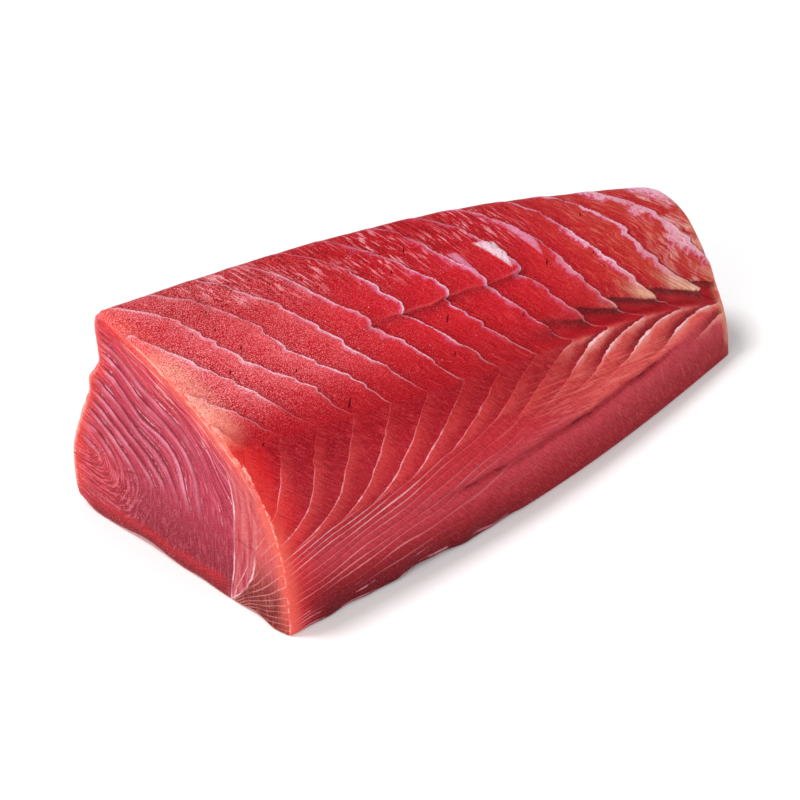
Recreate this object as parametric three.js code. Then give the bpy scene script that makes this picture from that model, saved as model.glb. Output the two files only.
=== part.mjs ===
// A raw tuna loin: one block of fish, cut square across at both ends, lying on its flat underside.
// Millimetres, +Z up. X runs along the fish from the thick near cut to the thin far cut, and Y from
// the sloping front to the back. The origin is under the middle of the block, where it rests.
//
// The flesh is a stack of muscle flakes, each one a cone nested in the next. On the outside every flake
// shows as a chevron: its edge climbs the front, turns at the fold line just above the shoulder, and
// falls back over the top and down the back. The flakes overlap like shallow steps.

import * as THREE from "three";
import { mergeVertices } from "three/addons/utils/BufferGeometryUtils.js";

// ---------- Driving dimensions ----------

const LENGTH = 230;

// A section is four sides between four corners. Each corner is given as [Y, Z] at the two cuts.
const NEAR = {
  frontFoot: [-0.5, 0],
  shoulder: [16, 54],
  backTop: [88.5, 86.5],
  backFoot: [103.5, 0],
  frontCrown: 6,
  topCrown: 5.5,
};
const FAR = {
  frontFoot: [-2.5, 0],
  shoulder: [4, 22],
  backTop: [45, 53.5],
  backFoot: [57, 0],
  frontCrown: 1.5,
  topCrown: 9,
};
const FRONT_BOW = 8.5; // the front swells out this far half-way along
const BACK_TOP_FALL = 2.6; // power of the back ridge's fall: level at first, then steeper
const BACK_WAIST = 4; // the back draws in below its top and swells above its foot
const BACK_CROWN = 1;
const FAR_CUT_LEAN = 5; // the far cut runs out this much further at its back top corner

// Edges are rounded as soft flesh is, most at the back ridge and where the far cut meets the top.
const FOOT_RADIUS = 1.2;
const EDGE_RADIUS = 2.2;
const BACK_TOP_RADIUS = 8;
const FAR_TOP_RADIUS = 4;

// Flakes: the first is this wide along the fold line, and each next one is wider by this share.
const FIRST_FLAKE = 12.6;
const FLAKE_GROWTH = 0.042;
const FLAKE_START = 0.42; // part of a flake cut away at the near end
const FOLD_AT = 0.12; // the fold line, as a share of the way from shoulder to back ridge
const FLAKE_STEP = 1.5; // height of a flake's edge above its neighbour
const WANDER = 1.6; // how far a flake's edge wanders

// The flakes over the back part from the front ones along two seams that run with the fish.
const MIDDLE_SEAM = { at: 0.48, from: 66, to: 142, drop: 0.8 };
const FOLD_SEAM = { at: 0.21, from: 140, to: 240, drop: 2.2 };

const GRID = { length: 72, width: 21, height: 14 }; // faces along each way of the block

const FLESH = { color: 0xb8343f, roughness: 0.38, metalness: 0 };

// ---------- Small helpers ----------

const mix = (a, b, t) => a + (b - a) * t;
const mixPoint = (p, q, t) => [mix(p[0], q[0], t), mix(p[1], q[1], t)];
const clamp = (x, low, high) => Math.min(Math.max(x, low), high);

function smooth(low, high, x) {
  const t = clamp((x - low) / (high - low), 0, 1);
  return t * t * (3 - 2 * t);
}

// A side from p to q that swells by `height` to its left, more towards q where `lean` is positive.
function crowned(p, q, t, height, lean) {
  const [x, y] = [q[0] - p[0], q[1] - p[1]];
  const size = Math.hypot(x, y);
  const swell = (height * 4 * t * (1 - t) * (1 + lean * (2 * t - 1))) / size;
  return [p[0] + x * t - y * swell, p[1] + y * t + x * swell];
}

// ---------- The block without its flakes ----------

// The corners of the section at `along`, 0 at the near cut and 1 at the far one.
function corners(along) {
  const bow = FRONT_BOW * Math.sin(Math.PI * along);
  const frontFoot = mixPoint(NEAR.frontFoot, FAR.frontFoot, along);
  const shoulder = mixPoint(NEAR.shoulder, FAR.shoulder, along);
  const fall = along ** BACK_TOP_FALL;
  return {
    frontFoot: [frontFoot[0] - bow, 0],
    shoulder: [shoulder[0] - bow, shoulder[1]],
    backTop: [mix(NEAR.backTop[0], FAR.backTop[0], along), mix(NEAR.backTop[1], FAR.backTop[1], fall)],
    backFoot: mixPoint(NEAR.backFoot, FAR.backFoot, along),
  };
}

// The four sides. The front and back run upwards, and the underside and top run to the back.
function frontSide(along, up) {
  const { frontFoot, shoulder } = corners(along);
  return crowned(frontFoot, shoulder, up, mix(NEAR.frontCrown, FAR.frontCrown, along), 0.2);
}

function topSide(along, across) {
  const { shoulder, backTop } = corners(along);
  const lean = mix(-0.1, 0.1, along);
  return crowned(shoulder, backTop, across, mix(NEAR.topCrown, FAR.topCrown, along), lean);
}

function backSide(along, up) {
  const { backTop, backFoot } = corners(along);
  const [y, z] = mixPoint(backFoot, backTop, up);
  return [y + BACK_CROWN * Math.sin(Math.PI * up) + BACK_WAIST * Math.sin(2 * Math.PI * up), z];
}

// A point of the block from three shares of the way: along, across (front to back) and up. Between the
// sides the section is filled evenly, so the same rule also makes the two cuts.
function blockPoint(along, across, up) {
  const { frontFoot, shoulder, backTop, backFoot } = corners(along);
  const [front, back] = [frontSide(along, up), backSide(along, up)];
  const [under, top] = [mixPoint(frontFoot, backFoot, across), topSide(along, across)];
  const spot = [0, 1].map((i) => {
    const fromEnds = mix(front[i], back[i], across) + mix(under[i], top[i], up);
    const fromCorners = mix(mix(frontFoot[i], backFoot[i], across), mix(shoulder[i], backTop[i], across), up);
    return fromEnds - fromCorners;
  });
  const lean = FAR_CUT_LEAN * smooth(0.8, 1, along) * smooth(0.2, 0.9, across) * up;
  return new THREE.Vector3(along * LENGTH + lean, spot[0], spot[1]);
}

// Pulls a point of the plain box in to its rounded edges and corners.
const BOX = new THREE.Vector3(LENGTH, 80, 70);

function roundEdges(point) {
  const [along, across, up] = [point.x / BOX.x, point.y / BOX.y, point.z / BOX.z];
  const plain = mix(FOOT_RADIUS, EDGE_RADIUS, up);
  const lengthwise = mix(plain, BACK_TOP_RADIUS, (across * up) ** 3);
  const endwise = mix(plain, mix(plain, FAR_TOP_RADIUS, across * up), along);
  const radii = new THREE.Vector3(endwise, lengthwise, lengthwise);
  const core = point.clone().clamp(radii, BOX.clone().sub(radii));
  const out = point.clone().sub(core).divide(radii).normalize();
  return core.add(out.multiply(radii));
}

// ---------- The flakes ----------

// Which flake the fold line is in, `x` along it. Whole numbers are the edges between flakes.
const flakeAt = (x) => Math.log(1 + (FLAKE_GROWTH * Math.max(x, 0)) / FIRST_FLAKE) / FLAKE_GROWTH - FLAKE_START;

// How far a flake's edge has fallen back from the fold line, over the top and then down the back.
function topLag(across) {
  const t = Math.max(across - FOLD_AT, 0) / 0.8;
  return 66 * t - 80 * t ** 2 + 57 * t ** 3;
}

function backLag(up) {
  return topLag(1) + 2.7 * NEAR.backTop[1] * (1 - up);
}

// The same down the front: first steep, then in a long slant.
function frontLag(along, up) {
  const turn = mix(0.25, 0.12, along);
  const slant = mix(0.0057, 0.0045, along);
  const target = 1 - up;
  let lag = target / slant;
  for (let round = 0; round < 12; round += 1) {
    const reached = turn * (1 - Math.exp(-lag / 12)) + slant * lag;
    const rate = (turn / 12) * Math.exp(-lag / 12) + slant;
    lag -= (reached - target) / rate;
  }
  return lag + mix(5, 27, along);
}

const wander = (x, round) => WANDER * Math.sin(x / 7.1 + 9 * round);

// A flake's height, 0 to 1, from one edge to the next: a long slope up and a short one down.
function flakeSlope(flake) {
  const t = flake - Math.floor(flake);
  return Math.min(t / 0.7, (1 - t) / 0.3);
}

// Height of the flesh over the plain block on each side.
function topRelief(x, across) {
  const inSeam = smooth(MIDDLE_SEAM.from, MIDDLE_SEAM.from + 12, x) * smooth(MIDDLE_SEAM.to, MIDDLE_SEAM.to - 12, x);
  const inFold = smooth(FOLD_SEAM.from, FOLD_SEAM.from + 30, x);
  const lobes = 3 * inSeam * Math.exp(-(((across - MIDDLE_SEAM.at - 0.07) / 0.05) ** 2));
  const flake = flakeAt(x + topLag(across) - lobes + wander(x, across));
  const beforeFold = 1 - smooth(FOLD_AT - 0.05, FOLD_AT + 0.05, across);
  const onFold = flakeAt(x + 130 * (FOLD_AT - across) + wander(x, across));
  const step = mix(flakeSlope(flake), flakeSlope(-onFold), beforeFold);
  const overSeam = MIDDLE_SEAM.drop * inSeam * smooth(MIDDLE_SEAM.at - 0.03, MIDDLE_SEAM.at + 0.02, across);
  const hollow = smooth(FOLD_AT - 0.02, FOLD_AT + 0.05, across) * (1 - smooth(FOLD_SEAM.at, FOLD_SEAM.at + 0.05, across));
  return FLAKE_STEP * (step - 0.5) + overSeam - FOLD_SEAM.drop * inFold * hollow;
}

function frontRelief(x, up) {
  const shown = smooth(0.3, 0.75, up);
  const flake = flakeAt(x + frontLag(x / LENGTH, up) + wander(x, up - 1));
  return FLAKE_STEP * shown * (flakeSlope(-flake) - 0.5);
}

function backRelief(x, up) {
  const flake = flakeAt(x + backLag(up) + wander(x, up));
  return FLAKE_STEP * smooth(0, 0.25, up) * (flakeSlope(flake) - 0.5);
}

function relief(x, across, up) {
  if (up <= 0) {
    return 0;
  }
  if (up >= 1) {
    return topRelief(x, across);
  }
  if (across <= 0) {
    return frontRelief(x, up);
  }
  return across >= 1 ? backRelief(x, up) : 0;
}

// ---------- The part ----------

function loinGeometry() {
  const box = new THREE.BoxGeometry(...BOX.toArray(), GRID.length, GRID.width, GRID.height);
  box.deleteAttribute("normal");
  box.deleteAttribute("uv");
  box.translate(BOX.x / 2, BOX.y / 2, BOX.z / 2);
  const block = mergeVertices(box, 1e-3);
  const spots = block.getAttribute("position");
  const shares = [];
  for (let i = 0; i < spots.count; i += 1) {
    const onBox = new THREE.Vector3().fromBufferAttribute(spots, i);
    const rounded = roundEdges(onBox);
    const onBlock = blockPoint(rounded.x / BOX.x, rounded.y / BOX.y, rounded.z / BOX.z);
    spots.setXYZ(i, onBlock.x, onBlock.y, onBlock.z);
    shares.push(onBox.divide(BOX));
  }
  block.computeVertexNormals();
  const normals = block.getAttribute("normal");
  for (let i = 0; i < spots.count; i += 1) {
    const spot = new THREE.Vector3().fromBufferAttribute(spots, i);
    const out = new THREE.Vector3().fromBufferAttribute(normals, i);
    spot.addScaledVector(out, relief(spot.x, shares[i].y, shares[i].z));
    spots.setXYZ(i, spot.x, spot.y, Math.max(spot.z, 0));
  }
  block.computeBoundingBox();
  const middle = block.boundingBox.getCenter(new THREE.Vector3());
  block.translate(-middle.x, -middle.y, -block.boundingBox.min.z);
  block.computeVertexNormals();
  return block;
}

const loin = new THREE.Mesh(loinGeometry(), new THREE.MeshStandardMaterial(FLESH));
loin.name = "tuna_loin";

const part = new THREE.Group();
part.name = "raw_tuna_loin";
part.add(loin);

export default part;
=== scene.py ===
import math

import bpy
import numpy as np
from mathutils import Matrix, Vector
from mathutils.bvhtree import BVHTree


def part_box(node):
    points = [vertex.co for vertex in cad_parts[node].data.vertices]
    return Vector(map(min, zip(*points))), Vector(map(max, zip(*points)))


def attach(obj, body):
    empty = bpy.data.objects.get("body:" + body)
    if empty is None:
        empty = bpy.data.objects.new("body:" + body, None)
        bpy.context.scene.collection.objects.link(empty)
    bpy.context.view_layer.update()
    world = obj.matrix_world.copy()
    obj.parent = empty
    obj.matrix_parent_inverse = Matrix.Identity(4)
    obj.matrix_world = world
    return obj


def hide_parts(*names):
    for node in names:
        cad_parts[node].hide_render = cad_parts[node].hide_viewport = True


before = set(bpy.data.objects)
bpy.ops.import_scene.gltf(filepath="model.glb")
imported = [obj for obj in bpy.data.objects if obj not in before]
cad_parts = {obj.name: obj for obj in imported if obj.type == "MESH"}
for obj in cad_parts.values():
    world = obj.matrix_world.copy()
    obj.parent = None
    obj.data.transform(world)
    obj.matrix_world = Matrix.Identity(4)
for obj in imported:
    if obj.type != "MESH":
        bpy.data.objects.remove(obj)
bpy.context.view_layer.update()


# ---------------------------------------------------------------- table, light and camera
# A white table under a bright even sky, with soft light from high up behind the thick end and two
# weaker windows on the near sides. None of this belongs to the fish.

MM = 0.001

TABLE_SIZE = 12.0
TABLE_COLOUR = (0.95, 0.95, 0.95, 1)
SKY_COLOUR = (1, 1, 1, 1)
SKY_STRENGTH = 0.43
SUN_STRENGTH = 1.85
SUN_FROM = (-0.36, 0.44, 1)
SUN_SOFTNESS = math.radians(16)

half = TABLE_SIZE / 2
table_mesh = bpy.data.meshes.new("table")
table_corners = [(-half, -half, 0), (half, -half, 0), (half, half, 0), (-half, half, 0)]
table_mesh.from_pydata(table_corners, [], [(0, 1, 2, 3)])
table = bpy.data.objects.new("table", table_mesh)
bpy.context.collection.objects.link(table)
paint = bpy.data.materials.new("table paint")
paint.use_nodes = True
table_finish = paint.node_tree.nodes["Principled BSDF"]
table_finish.inputs["Base Color"].default_value = TABLE_COLOUR
table_finish.inputs["Roughness"].default_value = 0.9
table_finish.inputs["Specular IOR Level"].default_value = 0.1
table_mesh.materials.append(paint)

world = bpy.data.worlds.new("studio")
world.use_nodes = True
world.node_tree.nodes["Background"].inputs["Color"].default_value = SKY_COLOUR
world.node_tree.nodes["Background"].inputs["Strength"].default_value = SKY_STRENGTH
bpy.context.scene.world = world


def soft_window(name, place, aim, size, watts):
    lamp = bpy.data.lights.new(name, "AREA")
    lamp.shape = "SQUARE"
    lamp.size = size
    lamp.energy = watts
    window = bpy.data.objects.new(name, lamp)
    window.location = place
    window.rotation_euler = (Vector(aim) - Vector(place)).to_track_quat("-Z", "Y").to_euler()
    bpy.context.collection.objects.link(window)


sunlight = bpy.data.lights.new("high light", "SUN")
sunlight.energy = SUN_STRENGTH
sunlight.angle = SUN_SOFTNESS
sun = bpy.data.objects.new("high light", sunlight)
sun.rotation_euler = Vector(SUN_FROM).to_track_quat("Z", "Y").to_euler()
bpy.context.collection.objects.link(sun)
soft_window("end window", (-1.1, -0.2, 0.6), (-0.05, 0, 0.04), 0.7, 6.0)
soft_window("front window", (0.0, -1.2, 0.55), (0, 0, 0.03), 0.8, 5.0)

CAMERA_PLACE = (-0.4855, -0.4465, 0.4578)
CAMERA_TURN = math.radians(43.57)
CAMERA_DOWN = math.radians(34.11)

view = bpy.data.cameras.new("view")
view.lens = 100
view.sensor_width = 36
camera = bpy.data.objects.new("view", view)
camera.location = CAMERA_PLACE
camera.rotation_euler = (math.pi / 2 - CAMERA_DOWN, 0, CAMERA_TURN - math.pi / 2)
bpy.context.collection.objects.link(camera)
bpy.context.scene.camera = camera
bpy.context.scene.view_settings.view_transform = "Standard"


# ---------------------------------------------------------------- the loin
# One raw block of tuna, cut square across at both ends. The flesh is nested cones of muscle, so its
# outside shows overlapping chevron flakes with pale rims of connective tissue, and its cut ends show
# the same flakes as rings round the core.

# The section's four corners at the two cuts, and how far its sides crown, lean and bow. All of this
# section's sizes are in millimetres, except shares and slopes.
LENGTH = 230.0
NEAR = {"front_foot": (-0.5, 0), "shoulder": (16, 54), "back_top": (88.5, 86.5), "back_foot": (103.5, 0)}
FAR = {"front_foot": (-2.5, 0), "shoulder": (4, 22), "back_top": (45, 53.5), "back_foot": (57, 0)}
FRONT_CROWN = (6, 1.5)
TOP_CROWN = (5.5, 9)
TOP_LEAN = (-0.1, 0.1)
FRONT_LEAN = 0.2
FRONT_BOW = 8.5
BACK_TOP_FALL = 2.6
BACK_WAIST = 4
BACK_CROWN = 1
FAR_CUT_LEAN = 5
FOOT_RADIUS, EDGE_RADIUS, BACK_TOP_RADIUS, FAR_TOP_RADIUS = 1.2, 2.2, 8, 4
BOX = np.array([LENGTH, 80, 70])

# The foot's edge curls up off the table here and there: how high, where along the edge, and how far.
# The back of the thick end has a notch above a swelling, given in the same way, at heights.
FRONT_CURLS = ((1.6, 56, 14), (0.4, 97, 7), (0.4, 28, 5))
END_CURLS = ((2.2, 68, 12), (0.7, 41, 6), (1.2, 16, 5))
CORNER_CURL, CURL_REACH, CORNER_REACH = 3.5, 5, 6
BACK_NOTCH = ((1.7, 57, 3.5), (-1.6, 66, 5))

# Distances round the block at the near and far ends, over its top, down its front and down its back,
# and how far round from the fold the back's foot is taken to be.
TOP_WIDTH, FRONT_HEIGHT, BACK_HEIGHT = (79, 53), (57, 23), (87, 54)
BACK_FOOT_ROUND = 155

# Flakes along the fold line, how far across the fold lies and how it sinks toward the thin end, and how
# ragged the flakes' rims are.
FIRST_FLAKE, FLAKE_GROWTH, FLAKE_START = 12.6, 0.042, 0.42
FOLD_AT, FOLD_SINKS_FROM, FOLD_SINK = 0.12, 150, 0.0012
RIM_START, RIM_STEPS, RIM_STEP_GAP, RIM_STEP_DEPTH = -100, 60, (3, 9), (0.3, 2.4)
RIMS, FIRST_RIM = 30, -5

# The seam where the upper flakes end in tongues, and the hollow beside the fold, whose brink is lowest
# at each rim and highest at this share of the way to the next.
SEAM_UP, SEAM_FROM, SEAM_TO = 24.3, 60, 148
BRINK_REACH, BRINK_PEAK = (5.0, 8.5), 0.14

# Low on the front the flakes' edges get this close, bend at a height that rises along the loin, and run
# on in thin lines to the near rim, at their own slope and this far apart. The lines that meet the rim
# below the foot line spread from the foot instead.
CLOSEST_EDGES = 0.2
BEND_HEIGHT, BEND_SLOPE = 30.5, 0.07
LOW_SLOPE, LOW_LINE_GAP, FOOT_LINE = 0.17, 2.3, 8.5

# The crease along the front starts at this distance along and share of the height, then rises and
# bends up.
CREASE_FROM, CREASE_AT, CREASE_RISE, CREASE_BEND = 65, 0.455, 0.0006, 0.0000107

# The patches of wet film on the top, as corners: distances along, and round from the fold. Their pale colours
# are partly the film's own and partly a painted wet sheen.
WHITE_PATCH = ((131.8, 37.8), (140.2, 36.4), (139.6, 31), (137.6, 26))
LILAC_PATCHES = (
    ((119, 37.4), (122.8, 37), (124, 31), (122, 25.5)),
    ((149, 40), (152, 39.4), (155, 36.8), (156, 32), (154.4, 27.5)),
)

# The cut end: the core that the rings go round, each ring's width and how flat they are, and the foot
# that the strips in front of the sinews fan out from, with each strip's angle in degrees.
CORE_Y, CORE_Z, RING_WIDTH, RING_FLATNESS = 92, 22, 5.6, 1.28
FAN_Y, FAN_Z, FAN_ANGLE = 34, -7, 3.9

# The surface grid, whose cells are smaller by this share right at the edges, within this reach.
CELLS = (256, 92, 68)
EDGE_CELLS, EDGE_REACH = 0.55, 0.02

chance = np.random.default_rng(11)


def mix(a, b, t):
    """From a to b as t goes from 0 to 1."""
    return a + (b - a) * t


def smooth(low, high, x):
    """A smooth rise from 0 to 1 as x goes from low to high."""
    t = np.clip((x - low) / (high - low), 0, 1)
    return t * t * (3 - 2 * t)


def bump_at(x, middle, reach):
    """1 at a middle, falling to 0 round it like a low hill."""
    return np.exp(-(((x - middle) / reach) ** 2))


def hills(x, places):
    """The sum of low hills along a line, each given by its height, middle and reach."""
    return sum(height * bump_at(x, middle, reach) for height, middle, reach in places)


def between(name, along):
    """One corner of the section, at each share of the way along."""
    near, far = NEAR[name], FAR[name]
    return np.stack([mix(near[0], far[0], along), mix(near[1], far[1], along)], -1)


def corners(along):
    """The section's four corners at each share of the way along."""
    bow = np.stack([FRONT_BOW * np.sin(np.pi * along), 0 * along], -1)
    back_top = between("back_top", along)
    back_top[..., 1] = mix(NEAR["back_top"][1], FAR["back_top"][1], along**BACK_TOP_FALL)
    foot, shoulder = between("front_foot", along) - bow, between("shoulder", along) - bow
    return foot, shoulder, back_top, between("back_foot", along)


def crowned(p, q, t, height, lean):
    """Points on a side from p to q that swells outward in the middle."""
    side = q - p
    left = np.stack([-side[..., 1], side[..., 0]], -1) / np.linalg.norm(side, axis=-1)[..., None]
    swell = height * 4 * t * (1 - t) * (1 + lean * (2 * t - 1))
    return p + side * t[..., None] + left * swell[..., None]


def block_point(along, across, up):
    """Points of the smooth block, from shares of the way along, across and up."""
    foot, shoulder, back_top, back_foot = corners(along)
    front = crowned(foot, shoulder, up, mix(*FRONT_CROWN, along), FRONT_LEAN)
    top = crowned(shoulder, back_top, across, mix(*TOP_CROWN, along), mix(*TOP_LEAN, along))
    under = mix(foot, back_foot, across[..., None])
    back = mix(back_foot, back_top, up[..., None])
    back[..., 0] += BACK_CROWN * np.sin(np.pi * up) + BACK_WAIST * np.sin(2 * np.pi * up)
    v, w = across[..., None], up[..., None]
    straight = mix(mix(foot, back_foot, v), mix(shoulder, back_top, v), w)
    spot = mix(front, back, v) + mix(under, top, w) - straight
    lean = FAR_CUT_LEAN * smooth(0.8, 1, along) * smooth(0.2, 0.9, across) * up
    return np.column_stack([along * LENGTH + lean, spot])


def round_edges(shares):
    """The shares of the block's points, with its edges drawn in to their radii."""
    along, across, up = shares.T
    plain = mix(FOOT_RADIUS, EDGE_RADIUS, up)
    lengthwise = mix(plain, BACK_TOP_RADIUS, (across * up) ** 3)
    endwise = mix(plain, mix(plain, FAR_TOP_RADIUS, across * up), along)
    radii = np.column_stack([endwise, lengthwise, lengthwise])
    point = shares * BOX
    core = np.clip(point, radii, BOX - radii)
    out = (point - core) / radii
    out /= np.maximum(np.linalg.norm(out, axis=1), 1e-9)[:, None]
    return (core + out * radii) / BOX


def curl_foot(spots, shares):
    """Lifts and sways the foot's edge here and there, as soft flesh does, and dents the back's."""
    x, y, z = spots.T
    front_gap = np.hypot(shares[:, 1] * 95, z)
    end_gap = np.hypot(x, z)
    corner_gap = np.hypot(end_gap, (1 - shares[:, 1]) * 105)
    front_lift = hills(x, FRONT_CURLS) * bump_at(front_gap, 0, CURL_REACH)
    end_lift = hills(y, END_CURLS) * bump_at(end_gap, 0, CURL_REACH)
    lift = front_lift + end_lift + CORNER_CURL * bump_at(corner_gap, 0, CORNER_REACH)
    sway = smooth(130, 60, x) * (0.35 * np.sin(x / 5.3) + 0.25 * np.sin(x / 2.3 + 1))
    notch = hills(z, BACK_NOTCH) * smooth(0.8, 1, shares[:, 1]) * np.exp(-x / 14)
    slip = notch - sway * bump_at(front_gap, 0, CORNER_REACH)
    bulge = bump_at(y, 6, 4) * np.exp(-z / 2.5 - x / 4)
    return np.column_stack([x - bulge, y + slip, z + lift])


def cell_lines(count):
    """Grid lines from 0 to 1, closer together near both edges."""
    middle = (np.arange(count) + 0.5) / count
    step = 1 - EDGE_CELLS * (np.exp(-middle / EDGE_REACH) + np.exp((middle - 1) / EDGE_REACH))
    lines = np.concatenate([[0], np.cumsum(step)])
    return lines / lines[-1]


def box_faces(counts):
    """The corners (as whole numbers) and outward quads of a box's surface grid."""
    quads = []
    for axis in range(3):
        a, b = (axis + 1) % 3, (axis + 2) % 3
        i, j = np.meshgrid(np.arange(counts[a]), np.arange(counts[b]), indexing="ij")
        for end in (0, counts[axis]):
            ring = [(0, 0), (1, 0), (1, 1), (0, 1)]
            quad = np.zeros((i.size, 4, 3), int)
            quad[..., axis] = end
            for corner, (da, db) in enumerate(ring if end else ring[::-1]):
                quad[:, corner, a] = i.ravel() + da
                quad[:, corner, b] = j.ravel() + db
            quads.append(quad)
    quads = np.concatenate(quads)
    spots, index = np.unique(quads.reshape(-1, 3), axis=0, return_inverse=True)
    return spots, index.reshape(-1, 4)


PER_MM = 2  # how many samples of a rim or of a depth there are in each millimetre
GIRTH = np.arange(-90, 175, 1 / PER_MM)  # round the block from the fold, and below 0 down the front


def ragged_rim():
    """One flake rim's offsets: rounded scallops, each ending in a small step."""
    steps = np.cumsum(chance.uniform(*RIM_STEP_GAP, RIM_STEPS)) + RIM_START
    depths = chance.uniform(*RIM_STEP_DEPTH, RIM_STEPS)
    after = np.searchsorted(steps, GIRTH)
    t = (steps[after] - GIRTH) / (steps[after] - steps[after - 1])
    return depths[after] * t**0.9 * (1 - t**9)


rims = np.array([ragged_rim() for _ in range(RIMS)])


def flake_at(x):
    """Which flake is at a distance along the fold, counted from the near cut, as each is a little wider."""
    return np.log(1 + FLAKE_GROWTH * np.maximum(x, -60) / FIRST_FLAKE) / FLAKE_GROWTH - FLAKE_START


def top_width(x):
    """How far it is over the top, at a distance along."""
    return mix(*TOP_WIDTH, x / LENGTH)


def front_height(x):
    """How far it is down the front, at a distance along."""
    return mix(*FRONT_HEIGHT, x / LENGTH)


def wandering(x, girth):
    """Each rim's own raggedness, shifted smoothly into the next rim's."""
    flake = np.clip(flake_at(x) - FIRST_RIM, 0, RIMS - 2)
    rim = flake.astype(int)
    spot = np.clip((girth - GIRTH[0]) * PER_MM, 0, len(GIRTH) - 2)
    i = spot.astype(int)
    low = mix(rims[rim, i], rims[rim, i + 1], spot - i)
    high = mix(rims[rim + 1, i], rims[rim + 1, i + 1], spot - i)
    return mix(low, high, smooth(0.1, 0.9, flake - rim)) + 0.9 * np.sin(x / 8.3 + girth / 6.3)


def fold_slip(x):
    """How far the fold line sinks down the front toward the far end."""
    return FOLD_SINK * np.maximum(x - FOLD_SINKS_FROM, 0) ** 2


def trail(down, start):
    """How far a flake's edge has trailed back at a depth below the fold, by where it started.

    Toward the thin end it hooks back at once. Then it slopes down, and low on the front it flattens.
    """
    slope = mix(0.7, 2.15, smooth(20, 150, start))
    hook = 14.7 * smooth(95, 210, start) * (1 - np.exp(-down / 1.8))
    far = smooth(90, 200, start)
    flat_from, flattening, flattest = mix(19.9, 10.5, far), mix(0.045, 0.36, far), mix(3.3, 5.5, far)
    reach = (flattest - slope) / (2 * flattening)
    over = np.maximum(down - flat_from, 0)
    bent = flattening * np.minimum(over, reach) ** 2 + 2 * flattening * reach * np.maximum(over - reach, 0)
    return hook + slope * down + bent


# Where each edge over the front started from, for every depth and distance along.
EDGE_STARTS, ALONG_FRONT = np.arange(-30, 620, 1.0), np.arange(-12, 245, 1.0)
DEPTHS = np.arange(0, 90, 1 / PER_MM)
edge_x = EDGE_STARTS - trail(DEPTHS[:, None], EDGE_STARTS)
spread = np.cumsum(np.maximum(np.diff(edge_x, axis=1), CLOSEST_EDGES), axis=1)
edge_x[:, 1:] = edge_x[:, :1] + spread
edge_starts = np.array([np.interp(ALONG_FRONT, row, EDGE_STARTS) for row in edge_x])


def started_from(x, down):
    """Where along the fold the edge through each point of the front started."""
    column = np.clip(x - ALONG_FRONT[0], 0, len(ALONG_FRONT) - 1.001)
    row = np.clip(down * PER_MM, 0, len(DEPTHS) - 1.001)
    i, j = row.astype(int), column.astype(int)
    upper = mix(edge_starts[i, j], edge_starts[i, j + 1], column - j)
    lower = mix(edge_starts[i + 1, j], edge_starts[i + 1, j + 1], column - j)
    return mix(upper, lower, row - i)


def bend_at(x):
    """How high up the front the edges bend."""
    return BEND_HEIGHT + BEND_SLOPE * x


# Where the edges bend, each flake's edge, and the height at the near rim of the line that it runs on in.
BEND_X = np.arange(0, 90.0)
BEND_FLAKE = flake_at(started_from(BEND_X, front_height(BEND_X) - bend_at(BEND_X)))


def rim_height(x, height):
    """The height at the near rim of the low line through each point of the front."""
    steep = height > FOOT_LINE + LOW_SLOPE * x
    rim = np.where(steep, height - LOW_SLOPE * x, height / (1 + LOW_SLOPE / FOOT_LINE * x))
    return rim - 3 * (1 - np.exp(-x / 50)) * smooth(10, 18, rim)


BEND_RIM = rim_height(BEND_X, bend_at(BEND_X))


def low_line(x, height):
    """Which low line is at each point of the front, on the same count as the flakes."""
    rim = rim_height(x, height)
    line = np.interp(-rim, -BEND_RIM, BEND_FLAKE) + np.maximum(BEND_RIM[-1] - rim, 0) / LOW_LINE_GAP
    return line + 0.1 * np.sin(x / 9 + height / 5) + 0.08 * np.sin(x / 3.7 - height / 3)


def below_bend(x, height):
    """How far below the bends a point of the front is."""
    return bend_at(x) - 0.5 * np.maximum(x - 100, 0) - height


def in_seam(x):
    """1 along the seam, falling to 0 at both of its ends."""
    return smooth(SEAM_FROM, SEAM_FROM + 14, x) * smooth(SEAM_TO, SEAM_TO - 12, x)


def top_lag(across):
    """How far a flake's edge has trailed back over the top, from the fold to each share across."""
    share = np.maximum(across - FOLD_AT, 0) / 0.8
    return 26 * (1 - np.exp(-share / 0.3)) + 16 * share**4


def top_flake(x, across):
    """Which flake each point of the top is in. Above the seam its edges bulge out in tongues."""
    lag = top_lag(across)
    from_fold = (across - FOLD_AT) * top_width(x)
    lag -= 4 * bump_at(from_fold, 12, 9) * smooth(110, 60, x)
    lag += 9 * smooth(110, 230, x) * (1 - np.exp(-np.maximum(from_fold + fold_slip(x), 0) / 2.5))
    above = from_fold - SEAM_UP
    tongue = 1.4 * bump_at(above, 4, 3) - 2.4 * np.exp(-np.maximum(above, 0) / 1.2)
    tongue = np.where(above > 0, tongue, -3.4 * np.exp(np.minimum(above, 0) / 5))
    ragged = mix(1.0, 1.3, x / LENGTH) * wandering(x + lag, from_fold) * smooth(0, 8, from_fold)
    return flake_at(x + lag - in_seam(x) * tongue - ragged)


def front_flake(x, from_fold):
    """Which flake each point of the front is in."""
    down = np.maximum(-from_fold - fold_slip(x), 0)
    start = started_from(x, down)
    ragged = wandering(start, -8 - down) * smooth(0, 6, down) * mix(0.6, 0.25, smooth(10, 30, down))
    return flake_at(start + ragged)


def back_flake(x, up):
    """Which flake each point of the back is in. The edges run on straight from the top's."""
    return flake_at(x + top_lag(1.0) + 2.4 * BACK_HEIGHT[0] * (1 - up))


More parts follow.
